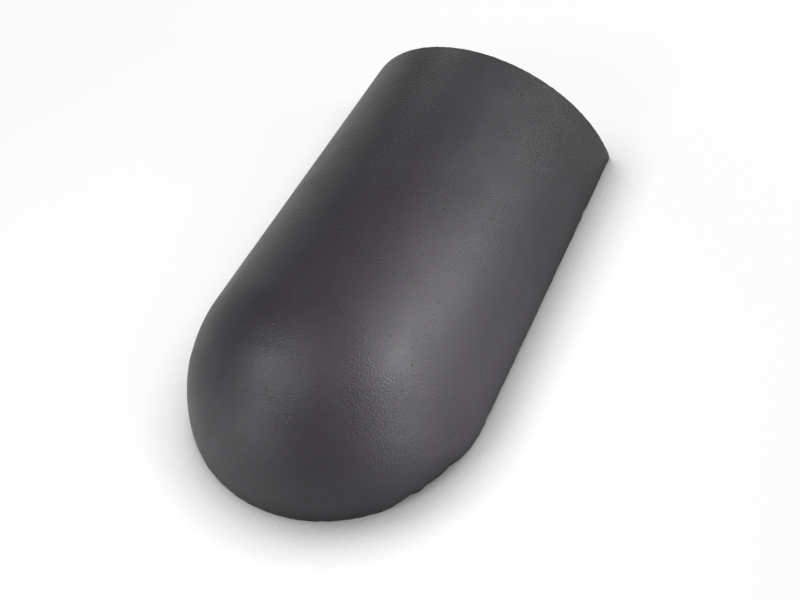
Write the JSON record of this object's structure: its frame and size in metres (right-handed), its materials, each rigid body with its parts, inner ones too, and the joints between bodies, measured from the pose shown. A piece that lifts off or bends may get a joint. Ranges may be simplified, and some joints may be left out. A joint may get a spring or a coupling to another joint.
{
  "type": "ridge tile",
  "caption": "Half-round concrete ridge tile that tapers to an open mouth and closes in a round dome at its wide end, to start the run of tiles along a roof's ridge or hip.",
  "frame": {"origin": "on the bed plane, in the middle of the tile's length and width", "axes": "+X across the tile, +Y from the dome to the open mouth, +Z from the bed up to the crown"},
  "size_m": [0.2496, 0.4099, 0.1179],
  "materials": {
    "coated_concrete": "anthracite colour coat on moulded concrete, satin, with a fine orange-peel surface"
  },
  "bodies": {
    "root": {"ridge_tile": "coated_concrete"}
  },
  "joints": []
}
